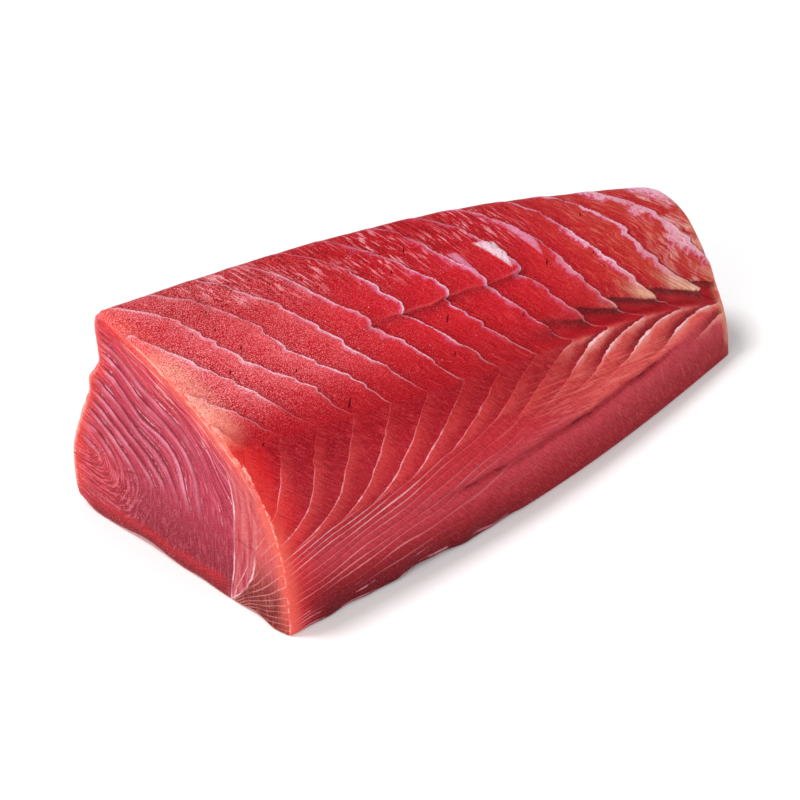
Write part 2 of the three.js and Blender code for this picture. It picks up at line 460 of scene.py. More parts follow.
def outside_fields(x, across, up):
    """Which flake each outside point is in, and how far round it is from the fold line.

    A point inside the section takes those of the outside point that is straight out from the middle.
    """
    sideways, upwards = across - 0.5, up - 0.5
    stretch = 0.5 / np.maximum(np.maximum(abs(sideways), abs(upwards)), 1e-6)
    across, up = 0.5 + sideways * stretch, 0.5 + upwards * stretch
    on_side = abs(sideways) > abs(upwards)
    top_round = (across - FOLD_AT) * top_width(x)
    front_round = -FOLD_AT * top_width(x) - (1 - up) * front_height(x)
    back_round = (1 - FOLD_AT) * top_width(x) + (1 - up) * mix(*BACK_HEIGHT, x / LENGTH)
    foot_round = -FOLD_AT * top_width(x) - front_height(x)
    below_round = mix(foot_round, BACK_FOOT_ROUND, across)
    side_round = np.where(sideways < 0, front_round, back_round)
    top = np.where(top_round > -fold_slip(x), top_flake(x, across), front_flake(x, top_round))
    front_back = np.where(sideways < 0, front_flake(x, front_round), back_flake(x, up))
    below = mix(front_flake(x, foot_round), back_flake(x, 0 * x), across)
    flake = np.where(on_side, front_back, np.where(upwards > 0, top, below))
    return flake, np.where(on_side, side_round, np.where(upwards > 0, top_round, below_round))


def inner_sinew(z):
    """How far back the inner sinew runs in the cut, at each height."""
    return 26 - 3 * np.sin((z - 4) / 60 * np.pi) + 0.02 * np.maximum(z - 40, 0) ** 1.6


def outer_sinew(z):
    """How far back the outer sinew runs in the cut, at each height."""
    return 12.2 + 11.8 * np.exp(-(z - 3) / 11)


def ring_at(y, z):
    """Which ring round the core each point of the cut is in."""
    tilted = z - 0.14 * np.maximum(y - 66, 0)
    wobble = 0.22 * np.sin(y / 7.3 + z / 11) + 0.16 * np.sin(z / 4.9 - y / 8.7)
    return np.hypot(np.maximum(CORE_Y - y, 0) / RING_FLATNESS, tilted - CORE_Z) / RING_WIDTH + wobble


def fan_at(y, z):
    """Which of the fan's thin strips each point in front of the sinew is in."""
    return np.degrees(np.arctan2(z - FAN_Z, FAN_Y - y)) / FAN_ANGLE + 0.25 * np.sin(z / 6)


def strip_width(strip_at, y, z, reach=0.4):
    """How wide the strip through each point is, where strip_at counts the strips."""
    rise_y = (strip_at(y + reach, z) - strip_at(y - reach, z)) / (2 * reach)
    rise_z = (strip_at(y, z + reach) - strip_at(y, z - reach)) / (2 * reach)
    return 1 / np.clip(np.hypot(rise_y, rise_z), 0.1, 4)


def gap_to_patch(x, girth, patch):
    """Distance outside a patch that is given by its corners, less than 0 inside it."""
    gaps = []
    for (x0, r0), (x1, r1) in zip(patch, patch[1:] + patch[:1]):
        side = math.hypot(x1 - x0, r1 - r0)
        gaps.append(((x - x0) * (r1 - r0) - (girth - r0) * (x1 - x0)) / side)
    return -np.min(gaps, axis=0)


# The smooth block.
grid_spots, quads = box_faces(CELLS)
shares = np.column_stack([cell_lines(count)[spots] for count, spots in zip(CELLS, grid_spots.T)])
rounded = round_edges(shares)
block = block_point(*rounded.T)

low_corner, high_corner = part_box("tuna_loin")
TO_FRAME = np.array([low_corner.x / MM - block[:, 0].min(), low_corner.y / MM - block[:, 1].min(), 0])
block = curl_foot(block, shares)

loin_mesh = bpy.data.meshes.new("tuna_flesh")
loin_mesh.from_pydata((block + TO_FRAME) * MM, [], quads.tolist())
loin = bpy.data.objects.new("tuna_flesh", loin_mesh)
bpy.context.collection.objects.link(loin)

# Fields that the relief and the flesh's colour follow, kept on the mesh's points. First the outside.
along, across, up = shares.T
x = along * LENGTH
flake, from_fold = outside_fields(x, across, up)
SIDE_STEP = 0.015


def flake_slope(side, rise):
    """How fast the flakes' count grows round the block, by a small step across or up, and over what gap."""
    ahead, behind = (
        outside_fields(x, np.clip(across + step * side, 0, 1), np.clip(up + step * rise, 0, 1))
        for step in (SIDE_STEP, -SIDE_STEP)
    )
    gap = ahead[1] - behind[1]
    return (ahead[0] - behind[0]) / np.where(abs(gap) > 0.1, gap, 1e9), abs(gap)


slope_along = (outside_fields(x + 1, across, up)[0] - outside_fields(x - 1, across, up)[0]) / 2
(slope_across, gap_across), (slope_up, gap_up) = flake_slope(1, 0), flake_slope(0, 1)
slope_round = np.where(gap_across > gap_up, slope_across, slope_up)
flake_width = 1 / np.clip(np.hypot(slope_along, slope_round), 0.05, 0.6)
height = np.maximum(from_fold + FOLD_AT * top_width(x) + front_height(x), 0)
crease_wave = 0.007 * np.sin(x / 6) + 0.004 * np.sin(x / 2.3)
crease_x = x - CREASE_FROM
crease_at = CREASE_AT + CREASE_RISE * crease_x + CREASE_BEND * crease_x**2 + crease_wave
from_crease = from_fold + FOLD_AT * top_width(x) + (1 - crease_at) * front_height(x)

# Then the cut ends, both on the near section's own measures, so that the far rings are the same smaller.
# Each point's depth in from the rim is its distance from the section's outline, found for a batch of
# points at a time.
OUTLINE_POINTS, BATCHES, DEPTH_OFF_CUTS = 120, 12, 9.0
cut_y, cut_z = block_point(0 * along, rounded[:, 1], rounded[:, 2])[:, 1:].T
on_end = (grid_spots[:, 0] == 0) | (grid_spots[:, 0] == CELLS[0])
on_side = ((grid_spots[:, 1:] == 0) | (grid_spots[:, 1:] == CELLS[1:])).any(1)
cut = np.where(on_end & on_side, 0.5, on_end * 1.0)
t = np.linspace(0, 1, OUTLINE_POINTS)
outline_shares = ((0 * t, t), (t, 0 * t + 1), (0 * t + 1, t))
outline = np.concatenate([block_point(0 * t, sideways, upwards) for sideways, upwards in outline_shares])
rim_depth = np.full(len(x), DEPTH_OFF_CUTS)
for batch in np.array_split(np.flatnonzero(on_end), BATCHES):
    away = np.hypot(cut_y[batch, None] - outline[:, 1], cut_z[batch, None] - outline[:, 2])
    rim_depth[batch] = away.min(1)

FIELDS = {
    "flake": flake,
    "flake_width": flake_width,
    "from_fold": from_fold + fold_slip(x),
    "x_along": x,
    "front_share": np.where(across < 0.5, up, 1),
    "seam_gap": from_fold - SEAM_UP + 0.35 * np.sin(x / 4.7) + 0.2 * np.sin(x / 1.9),
    "from_crease": from_crease,
    "low_line": low_line(x, height),
    "below_bend": below_bend(x, height),
    "white_patch": gap_to_patch(x, from_fold, WHITE_PATCH),
    "lilac_patch": np.min([gap_to_patch(x, from_fold, patch) for patch in LILAC_PATCHES], axis=0),
    "cut": cut,
    "cut_y": cut_y,
    "cut_z": cut_z,
    "rim_depth": rim_depth,
    "ring": ring_at(cut_y, cut_z),
    "ring_width": strip_width(ring_at, cut_y, cut_z),
    "fan": fan_at(cut_y, cut_z),
    "fan_width": strip_width(fan_at, cut_y, cut_z),
    "inner_sinew": cut_y - inner_sinew(cut_z),
    "outer_sinew": cut_y - outer_sinew(cut_z),
    "share_across": across,
    "share_up": up,
}
for name, values in FIELDS.items():
    loin_mesh.attributes.new(name, "FLOAT", "POINT").data.foreach_set("value", values.astype(np.float32))


def add(tree, kind, *feeds, out=0, **settings):
    """One node with its inputs fed in order by values or sockets. Returns its output."""
    made = tree.nodes.new(kind)
    for key, value in settings.items():
        setattr(made, key, value)
    for spot, feed in zip(made.inputs, feeds):
        if isinstance(feed, bpy.types.NodeSocket):
            tree.links.new(feed, spot)
        elif feed is not None:
            spot.default_value = feed
    return made.outputs[out]


class Sums:
    """Short names for the sums that both trees are full of: r for the relief's, k for the skin's."""

    def __init__(self, tree):
        self.tree = tree

    def maths(self, operation, *feeds):
        return add(self.tree, "ShaderNodeMath", *feeds, operation=operation)

    def ramp(self, value, start, end, low=0.0, high=1.0):
        """A smooth rise from low to high as value goes from start to end, and level outside them."""
        settings = {"interpolation_type": "SMOOTHSTEP", "clamp": False}  # a smooth step levels off by itself
        return add(self.tree, "ShaderNodeMapRange", value, start, end, low, high, **settings)

    def times(self, *feeds):
        product = feeds[0]
        for feed in feeds[1:]:
            product = self.maths("MULTIPLY", product, feed)
        return product

    def plus(self, *feeds):
        total = feeds[0]
        for feed in feeds[1:]:
            total = self.maths("ADD", total, feed)
        return total

    def less(self, a, b):
        return self.maths("SUBTRACT", a, b)

    def over(self, a, b):
        return self.maths("DIVIDE", a, b)

    def least(self, a, b):
        return self.maths("MINIMUM", a, b)

    def most(self, a, b):
        return self.maths("MAXIMUM", a, b)

    def size(self, value):
        return self.maths("ABSOLUTE", value)

    def rest(self, share):
        return self.less(1.0, share)

    def off(self, value, middle):
        """How far a value is from a middle one, either way."""
        return self.size(self.less(value, middle))

    def phase(self, value):
        """How far a value is from the whole number below it to the next one."""
        return self.maths("FRACT", value)

    def nearest(self, phase):
        """How far a phase is from the nearer whole number."""
        return self.least(phase, self.rest(phase))

    def noise(self, vector, scale, detail=2.0, rough=0.5):
        return add(self.tree, "ShaderNodeTexNoise", vector, None, scale, detail, rough, noise_dimensions="3D")


def seam_middle(sums, along_loin):
    """1 along the seam, falling to 0 at both of its ends."""
    rise = sums.ramp(along_loin, SEAM_FROM, SEAM_FROM + 14)
    return sums.times(rise, sums.ramp(along_loin, SEAM_TO, SEAM_TO - 10))


def above_brink(sums, fold_gap, phase):
    """How far up from the hollow's brink, which reaches highest just past each rim."""
    falling, rising = (sums.ramp(phase, rim, BRINK_PEAK, *BRINK_REACH) for rim in (1.0, 0.0))
    return sums.less(fold_gap, sums.least(falling, rising))


# The relief: each flake rises to its rim and drops to the next one. Names that start with r_ are this
# tree's own readings of the mesh's fields.
relief = bpy.data.node_groups.new("flake relief", "GeometryNodeTree")
relief.interface.new_socket("Geometry", in_out="INPUT", socket_type="NodeSocketGeometry")
SIZES = {
    "Top Step": 0.8 * MM,
    "Front Step": 0.6 * MM,
    "Low Ridge": 0.2 * MM,
    "Seam Drop": 1.0 * MM,
    "Fold Hollow": 2.2 * MM,
    "Ring Groove": 0.6 * MM,
    "Crease Depth": 0.7 * MM,
    "Patch Lift": 0.3 * MM,
    "Unevenness": 0.6 * MM,
}
inputs = {}
for name, size in SIZES.items():
    inputs[name] = relief.interface.new_socket(name, in_out="INPUT", socket_type="NodeSocketFloat")
    inputs[name].default_value = size
relief.interface.new_socket("Geometry", in_out="OUTPUT", socket_type="NodeSocketGeometry")
given = relief.nodes.new("NodeGroupInput").outputs
r = Sums(relief)


def kept(name):
    return add(relief, "GeometryNodeInputNamedAttribute", name, data_type="FLOAT")


r_fold, r_x, r_crease, r_seam = (kept(name) for name in ("from_fold", "x_along", "from_crease", "seam_gap"))
r_width, r_ring, r_rim = (kept(name) for name in ("flake_width", "ring", "rim_depth"))
r_phase = r.phase(kept("flake"))
r_left = r.rest(r_phase)
r_top = r.ramp(r_fold, -1, 3)
r_low = r.ramp(kept("below_bend"), -1, 1.5)

# The flakes' steps, rising backward over the top and forward down the front.
rise_back = r.most(r.maths("POWER", r_phase, 1.6), r.ramp(r.times(r_phase, r_width), 0, 1.0, 1, 0))
rise_forward = r.most(r.maths("POWER", r_left, 1.6), r.ramp(r.times(r_left, r_width), 0, 0.9, 1, 0))
by_ridge = r.ramp(kept("share_across"), 0.78, 0.97, 1, 0.25)
top_height = r.times(rise_back, r_top, given["Top Step"], r.ramp(r_x, 0, 200, 0.8, 1.3), by_ridge)
near_or_high = r.plus(r.ramp(r_x, 135, 105), r.ramp(r_fold, -20, -7, 0, 1))
front_share = r.least(r.times(r.rest(r_low), r.ramp(r_crease, 0, 6), near_or_high), 1.0)
front_lift = r.times(rise_forward, r.rest(r_top), given["Front Step"], front_share)
flakes = r.times(r.plus(top_height, front_lift), r.ramp(r.size(r_fold), 0, 8, 0.3, 1))
low_phase = r.phase(kept("low_line"))
ridge_shape = r.times(low_phase, r.rest(low_phase), 4.0)
low_ridges = r.times(r_low, r.ramp(r_x, 130, 90), ridge_shape, given["Low Ridge"])

# The seam, the hollow beside the fold, the crease in the front, and two patches of raised wet film.
above_seam = r.times(r.ramp(r_seam, -0.6, 0.4), r.ramp(r_seam, 0, 16, 1, 0))
over_seam = r.times(seam_middle(r, r_x), above_seam, given["Seam Drop"])
under_brink = r.ramp(above_brink(r, r_fold, r_phase), -0.8, 0.8, 1, 0)
in_fold = r.times(r.ramp(r_x, 118, 165), r.ramp(r_fold, -0.6, 2.5), under_brink)
hollow = r.times(in_fold, given["Fold Hollow"], r.ramp(r_fold, 0, 3.5, 0.45, 1))
crease_line = r.times(r.ramp(r.size(r_crease), 0, 1.5, 1, 0), r.ramp(r_x, 55, 90), r.ramp(r_x, 202, 186))
crease = r.times(crease_line, given["Crease Depth"])
patches = r.least(kept("white_patch"), kept("lilac_patch"))
lifted = r.times(r.ramp(patches, 0.3, -0.3), given["Patch Lift"])

# The grooves between the cut ends' rings, which gape here and there.
place = add(relief, "GeometryNodeInputPosition")
uneven = r.noise(place, 90.0)
gape = r.ramp(r.noise(place, 40.0, 1.0), 0.4, 0.64, 0.2, 1.2)
ring_gap = r.times(r.nearest(r.phase(r_ring)), kept("ring_width"))
inside_rings = r.times(r.ramp(r_ring, 8.8, 7.4), r.ramp(r_rim, 2, 6))
gaping = r.times(r.ramp(kept("cut_z"), 26, 40), r.ramp(kept("cut_y"), 40, 54), inside_rings)
groove = r.times(r.ramp(ring_gap, 0, 3.2, 1, 0), gape, gaping, given["Ring Groove"])

# All of it together, moved along the surface's own direction, and nothing at the foot.
raised = r.less(r.plus(flakes, over_seam, lifted, low_ridges), r.plus(hollow, crease))
lumps = r.times(r.less(uneven, 0.5), given["Unevenness"])
full_rise = r.plus(r.less(r.times(raised, r.rest(kept("cut"))), groove), lumps)
off_table = r.times(full_rise, r.ramp(kept("share_up"), 0.0, 0.06))
offset = add(relief, "ShaderNodeVectorMath", add(relief, "GeometryNodeInputNormal"), operation="SCALE")
relief.links.new(off_table, offset.node.inputs["Scale"])
moved = add(relief, "GeometryNodeSetPosition", given["Geometry"], None, None, offset)
smoothed = add(relief, "GeometryNodeSetShadeSmooth", moved)
flesh = bpy.data.materials.new("tuna flesh")
solid = add(relief, "GeometryNodeRealizeInstances", smoothed)
coated = add(relief, "GeometryNodeSetMaterial", solid, None, flesh)
relief.links.new(coated, relief.nodes.new("NodeGroupOutput").inputs[0])

shaping = loin.modifiers.new("flake relief", "NODES")
shaping.node_group = relief
for name, size in SIZES.items():
    shaping[inputs[name].identifier] = size
bpy.context.view_layer.update()
shaped = bpy.data.meshes.new_from_object(loin.evaluated_get(bpy.context.evaluated_depsgraph_get()))
loin.modifiers.remove(shaping)
loin.data = shaped

# The flesh: deep red muscle, paler and pinker toward each flake's rim, wet and finely grained. Names
# that start with s_, and with c_ on the cut ends, are this tree's own readings of the mesh's fields.
flesh.use_nodes = True
skin = flesh.node_tree
skin.nodes.clear()
k = Sums(skin)


def srgb(red, green, blue):
    """A colour given as it looks, on the 0 to 255 scale, as the linear one that a shader takes."""
    looks = np.array([red, green, blue]) / 255
    linear = np.where(looks < 0.04045, looks / 12.92, ((looks + 0.055) / 1.055) ** 2.4)
    return (*linear.tolist(), 1)


def field(name):
    return add(skin, "ShaderNodeAttribute", out="Fac", attribute_name=name, attribute_type="GEOMETRY")


def tint(share, under, over):
    """One colour, or a share of another laid over it."""
    made = skin.nodes.new("ShaderNodeMix")
    made.data_type = "RGBA"
    for index, feed in ((0, share), (6, under), (7, over)):  # where this node keeps its colour inputs
        if isinstance(feed, bpy.types.NodeSocket):
            skin.links.new(feed, made.inputs[index])
        else:
            made.inputs[index].default_value = feed
    return made.outputs[2]


class Coats:
    """A colour that is built up in coats."""

    def __init__(self, colour):
        self.colour = colour

    def lay(self, colour, *shares):
        """Lays one more colour on, at the product of its shares."""
        self.colour = tint(k.times(*shares), self.colour, colour)


def strands(side, length, detail=4.0, rough=0.65):
    """Noise drawn out into strands, from one field across them and one along."""
    return k.noise(add(skin, "ShaderNodeCombineXYZ", side, length, 0.0), 1.0, detail, rough)


s_flake, s_width, s_fold, s_x = (field(name) for name in ("flake", "flake_width", "from_fold", "x_along"))
s_crease, s_bend, s_low = (field(name) for name in ("from_crease", "below_bend", "low_line"))
s_up, s_seam = field("front_share"), field("seam_gap")
spot = add(skin, "ShaderNodeTexCoord", out="Object")
grain = k.noise(spot, 2900.0, 1.0)
speck = k.noise(spot, 1700.0, 2.0, 0.6)
mottle = k.noise(spot, 600.0, 3.0, 0.6)
ragged = k.noise(spot, 420.0, 3.0, 0.6)
patchy = k.noise(spot, 95.0)
broad = k.noise(spot, 28.0)
fibres = strands(k.times(s_flake, 17.0), k.times(s_fold, 0.2))
crossing = strands(k.plus(k.times(s_x, 1.1), k.times(s_fold, 1.3)), k.times(k.less(s_x, s_fold), 0.16))
down_strokes = strands(k.plus(k.times(s_x, 0.9), k.times(s_fold, 0.22)), k.times(s_fold, 0.16))

# How far past its flake's rim a point is, and how far before the next one, in millimetres. The rims
# wander most over the top and toward the thin end.
jitter = k.plus(k.times(k.less(ragged, 0.5), 1.3), k.times(k.less(patchy, 0.5), 1.6))
wander = k.times(jitter, k.most(k.ramp(s_fold, -8, 8, 0.4, 1), k.ramp(s_x, 130, 150)))
phase = k.phase(k.plus(s_flake, k.over(wander, s_width)))
after, before = k.times(phase, s_width), k.times(k.rest(phase), s_width)
top_side, on_back = k.ramp(s_fold, -1.2, 1.2), k.ramp(s_fold, 62, 84)
near_end, far_end = k.ramp(s_x, 95, 10), k.ramp(s_x, 130, 215)
at_corner = k.times(k.ramp(s_x, 58, 28), k.ramp(k.size(s_fold), 20, 5))

# Over the top: painted shade just past a rim, then lighter toward the next rim as painted light on the rising
# flake, browner toward the thin end.
top = Coats(tint(k.ramp(phase, 0.0, 0.6), srgb(170, 4, 20), srgb(192, 16, 32)))
top.lay(srgb(210, 36, 44), k.ramp(phase, 0.5, 0.98), 0.5)
top.lay(srgb(200, 36, 48), near_end, k.ramp(s_fold, 2, 26), 0.75)
# Painted shade just past each rim, over the thick end.
shade_past_rim = k.times(near_end, k.ramp(after, 5.5, 0.5), k.ramp(s_fold, 6, 26))
top.lay(srgb(170, 8, 26), shade_past_rim, k.ramp(broad, 0.35, 0.6, 0.3, 0.7))
top.lay(srgb(182, 58, 40), far_end, k.ramp(phase, 0.05, 0.7), 0.9)
top.lay(srgb(158, 2, 18), k.ramp(s_fold, 17, 1, 0, 0.85))
# A painted highlight: paler pink before each rim over the thick end, where the flake rises into the light.
lit_before_rim = k.times(k.ramp(before, 8.5, 0), near_end, k.ramp(s_fold, 4, 20), k.ramp(broad, 0.35, 0.6, 0.42, 0.72))
top.lay(srgb(240, 118, 126), lit_before_rim)
top.lay(srgb(214, 62, 62), k.ramp(fibres, 0.5, 0.68), k.ramp(s_x, 60, 130, 0.3, 0.7))
top.lay(srgb(126, 0, 12), k.ramp(fibres, 0.48, 0.3), 0.65)
dry_strands = k.times(k.ramp(fibres, 0.5, 0.66), k.ramp(s_x, 150, 205), k.ramp(broad, 0.36, 0.6, 0.2, 0.7))
top.lay(srgb(226, 132, 106), dry_strands)
pale_end = k.times(k.ramp(s_x, 195, 224), k.ramp(fibres, 0.42, 0.58), k.ramp(patchy, 0.42, 0.6))
top.lay(srgb(240, 200, 186), pale_end, k.rest(on_back), 0.8)

# Along the ridge the fibres show as pale and dark strokes; the pale ones are painted wet highlights on the
# fibres.
on_ridge = k.times(k.ramp(field("share_across"), 0.55, 0.85), k.ramp(s_x, 6, 26), k.ramp(s_x, 205, 120))
top.lay(srgb(172, 4, 18), on_ridge, 0.75)
glistening_stroke = k.times(on_ridge, k.ramp(down_strokes, 0.54, 0.6), k.ramp(broad, 0.4, 0.58, 0.05, 0.95))
top.lay(srgb(252, 184, 194), glistening_stroke, k.rest(k.times(on_back, 0.9)))
top.lay(srgb(114, 0, 10), on_ridge, k.ramp(down_strokes, 0.49, 0.39), 0.9)

# Before each rim a lilac band of tissue with a torn edge, widest toward the thin end; its pale lilac is
# partly the tissue's own colour and partly a painted wet sheen.
far_widening = k.times(k.ramp(s_x, 185, 222, 0, 3.6), k.rest(on_back))
band_width = k.times(k.ramp(patchy, 0.3, 0.7, 0.4, 1.8), k.plus(k.ramp(s_x, 20, 190, 0.8, 2.0), far_widening))
band_share = k.plus(k.over(before, band_width), k.times(k.less(mottle, 0.5), 2.4))
weak_band = k.rest(k.most(k.times(on_ridge, 0.6), k.times(on_back, 0.6)))
band = k.times(k.ramp(band_share, 1.5, 0.6), k.ramp(s_fold, 3, 22), weak_band, k.rest(at_corner))
band_core = tint(k.ramp(s_x, 130, 205), srgb(230, 138, 172), srgb(244, 196, 222))
band_colour = Coats(tint(k.ramp(band_share, 1.1, 0.3), srgb(206, 58, 108), band_core))
band_colour.lay(srgb(246, 176, 190), near_end, 0.7)
top.lay(band_colour.colour, band, k.ramp(broad, 0.36, 0.56, 0.55, 0.95))

# The rim itself: a white line, with a thin shadow past it.
line_share = k.ramp(k.over(before, k.ramp(patchy, 0.35, 0.65, 0.45, 0.9)), 1.0, 0.4)
off_ridge = k.times(line_share, k.ramp(s_fold, -2, 4, 0.3, 1), k.rest(k.times(on_ridge, 0.7)))
rim_line = k.times(off_ridge, k.ramp(s_fold, 0, 18, 0.35, 1), k.ramp(broad, 0.38, 0.58, 0.35, 1))
top.lay(srgb(250, 214, 228), rim_line, k.rest(k.times(at_corner, 0.75)))
top.lay(srgb(126, 0, 14), k.ramp(after, 1.6, 0.0), k.ramp(s_fold, 2, 8), k.rest(k.times(on_ridge, 0.7)), 0.5)

# Under the tongues at the seam, and in the hollow beside the fold: painted shade, in the hollow darkest just
# under its brink.
on_seam = seam_middle(k, s_x)
tongue_shade = k.times(on_seam, k.ramp(s_seam, -4, -0.3), k.ramp(s_seam, 0.1, -0.3))
top.lay(srgb(122, 0, 14), tongue_shade, k.ramp(broad, 0.35, 0.6, 0.3, 0.75))
top.lay(srgb(222, 100, 106), on_seam, k.ramp(k.off(s_seam, 0.3), 0.5, 0.1), k.ramp(broad, 0.4, 0.6, 0, 0.3))
brink = above_brink(k, s_fold, phase)
in_hollow = k.times(k.ramp(s_x, 118, 165), k.ramp(k.plus(brink, k.times(jitter, 0.3)), 0.4, -0.3))
# The hollow's painted shade, with fibres through it.
hollow_shade = Coats(tint(k.ramp(brink, -4.5, -0.5), srgb(164, 8, 24), srgb(58, 0, 6)))
hollow_shade.lay(srgb(196, 50, 52), k.ramp(fibres, 0.52, 0.66), 0.35)
top.lay(hollow_shade.colour, in_hollow, 0.95)
top.lay(srgb(226, 140, 150), in_hollow, k.ramp(before, 0.5, 0.15), k.ramp(patchy, 0.4, 0.6, 0.1, 0.6))
at_tip = k.times(k.ramp(s_x, 160, 200), k.ramp(brink, 10, 0.5), k.ramp(brink, -0.6, 0.6))
top.lay(srgb(246, 208, 172), at_tip, k.ramp(phase, 0.35, 0.95), k.ramp(fibres, 0.36, 0.6, 0.4, 1))
# The films' pale colours, partly their own and partly a painted wet sheen.
WET_FILMS = (("white_patch", srgb(236, 218, 230), 1.0), ("lilac_patch", srgb(226, 146, 180), 0.85))
for name, colour, share in WET_FILMS:
    inside = k.ramp(k.plus(field(name), k.times(jitter, 0.5)), 0.5, -0.6)
    top.lay(colour, inside, k.ramp(mottle, 0.36, 0.5, 0.7, 1), share)

# Down the front: each flake is painted pale just past its edge, as light on its raised side, and painted in
# shade where the next one overlaps it.
low_down = k.ramp(s_bend, -0.8, 1.2)
front = Coats(tint(k.ramp(s_fold, -3, -22), srgb(152, 4, 22), srgb(192, 38, 50)))
front.lay(srgb(184, 56, 70), k.ramp(s_crease, 10, 0))
front.lay(srgb(138, 10, 28), k.ramp(s_crease, -1, -14))
# Painted shade on the front near the thick end's corner.
corner_shade = k.times(k.ramp(k.off(s_x, 27.0), 26, 6), k.ramp(s_fold, 0, -8, 0.4, 1), k.ramp(s_fold, -44, -24), 0.55)
front.lay(srgb(134, 4, 24), corner_shade)
front.lay(srgb(218, 26, 30), k.ramp(s_x, 17, 2), k.ramp(s_crease, -12, 4, 0.5, 0.9))
front.lay(srgb(236, 96, 88), k.ramp(s_x, 120, 164), k.ramp(s_crease, -1, 2), 0.95)
near_or_high = k.most(k.ramp(s_x, 140, 105), k.ramp(s_fold, -20, -8))
lined = k.times(k.rest(low_down), k.ramp(s_crease, 0, 5), near_or_high)
lit_side = k.times(k.ramp(k.over(after, k.ramp(s_x, 40, 170, 5, 10)), 1.0, 0), lined)
front.lay(srgb(228, 82, 74), lit_side, k.ramp(s_fold, -3, -13, 0.2, 1), k.ramp(s_x, 60, 160, 0.45, 0.8))
shaded_side = k.times(k.ramp(k.over(before, k.ramp(s_x, 40, 150, 3.5, 7)), 1, 0), lined)
front.lay(srgb(132, 2, 18), shaded_side, k.ramp(s_x, 60, 160, 0.45, 0.6))
# Painted shade below the fold toward the thin end, reaching from the hollow down to the feathers.
front.lay(srgb(140, 8, 22), k.ramp(s_x, 118, 150), k.ramp(s_fold, -12, -3), k.ramp(after, 2.5, 8), 0.95)
front.lay(srgb(214, 68, 78), k.ramp(crossing, 0.5, 0.66, 0, 0.4))
front.lay(srgb(116, 0, 14), k.ramp(crossing, 0.5, 0.36, 0, 0.5))
along_strokes = strands(k.times(s_fold, 1.2), k.times(s_x, 0.06))
streaked = k.times(k.ramp(s_x, 95, 140), k.ramp(s_fold, -2, -12), k.ramp(s_crease, -1, 2))
front.lay(srgb(238, 130, 122), k.ramp(along_strokes, 0.48, 0.64), streaked, 0.5)
front.lay(srgb(190, 34, 46), k.ramp(along_strokes, 0.48, 0.36), streaked, 0.35)

# Toward the thin end the flakes' tips stand out like feathers, with torn pale fringes and painted shade just
# before each edge.
feather = k.times(k.ramp(s_x, 132, 156), k.ramp(s_fold, -14, -5))
fringe = k.ramp(k.over(after, k.ramp(patchy, 0.35, 0.65, 1.5, 5.0)), 1.0, 0.1)
front.lay(srgb(240, 158, 146), feather, fringe, 0.75)
front.lay(srgb(112, 0, 14), feather, k.ramp(before, 2.6, 0.3), 0.85)

# The front's white edge lines, which are brightest in the feathers and where the edges bend.
by_bend = k.times(k.ramp(s_bend, -17, -4), k.ramp(s_bend, 1, -2))
at_knee = k.times(by_bend, k.ramp(s_x, 120, 60), k.ramp(ragged, 0.45, 0.6))
torn = k.times(feather, k.ramp(patchy, 0.35, 0.65, 0.15, 0.9))
edge_width = k.plus(k.ramp(patchy, 0.35, 0.7, 0.24, 0.5), torn, k.times(at_knee, 0.4))
near_and_low = k.times(k.ramp(s_x, 120, 50, 0.3, 0.9), k.ramp(s_fold, -4, -20, 0.25, 1))
clear = k.times(near_and_low, k.ramp(broad, 0.35, 0.6, 0.45, 1))
clear_or_torn = k.most(clear, k.times(feather, k.ramp(patchy, 0.35, 0.6, 0.4, 0.95)))
brightness = k.most(k.times(clear_or_torn, k.rest(k.times(at_corner, 0.8))), at_knee)
edge_colour = tint(feather, srgb(240, 172, 182), srgb(250, 216, 222))
front.lay(edge_colour, k.times(k.ramp(k.over(after, edge_width), 1.0, 0.4), lined, brightness), 0.9)

# Low down the edges run on as thin lines, and toward the thin end there are pale wrinkles instead.
low_phase = k.phase(k.plus(s_low, k.times(jitter, 0.05)))
low_gap = k.times(k.nearest(low_phase), LOW_LINE_GAP)
line_number = k.maths("FLOOR", k.plus(s_low, 0.5))
own_strength = strands(k.times(line_number, 3.7), k.times(s_x, 0.03), 2.0, 0.5)
widening = k.times(k.ramp(s_bend, 9, 0), k.ramp(s_x, 75, 40), 0.3)
low_width = k.times(k.ramp(patchy, 0.35, 0.7, 0.17, 0.34), k.plus(widening, 1.0))
down_to_foot = k.most(k.ramp(s_crease, -10, 2, 0.25, 1), k.ramp(s_x, 80, 35))
low_reach = k.times(low_down, k.ramp(s_x, 130, 20, 0, 0.9), down_to_foot)
low_strength = k.times(low_reach, k.ramp(own_strength, 0.35, 0.65, 0.15, 1.1))
near_knee = k.times(k.ramp(s_bend, 10, 2), k.ramp(s_x, 80, 50))
low_colour = tint(near_knee, srgb(240, 160, 162), srgb(252, 220, 226))
front.lay(low_colour, k.ramp(k.over(low_gap, low_width), 1.0, 0.3), low_strength)
# Painted shade before each next low line.
front.lay(srgb(140, 6, 22), k.ramp(low_phase, 0.35, 0.9), low_down, k.ramp(s_x, 120, 60), 0.45)
wrinkles = k.times(k.ramp(down_strokes, 0.54, 0.66), k.ramp(s_crease, 1, -3), k.ramp(s_x, 110, 160))
front.lay(srgb(198, 84, 90), wrinkles, k.ramp(broad, 0.4, 0.6, 0.1, 0.45))

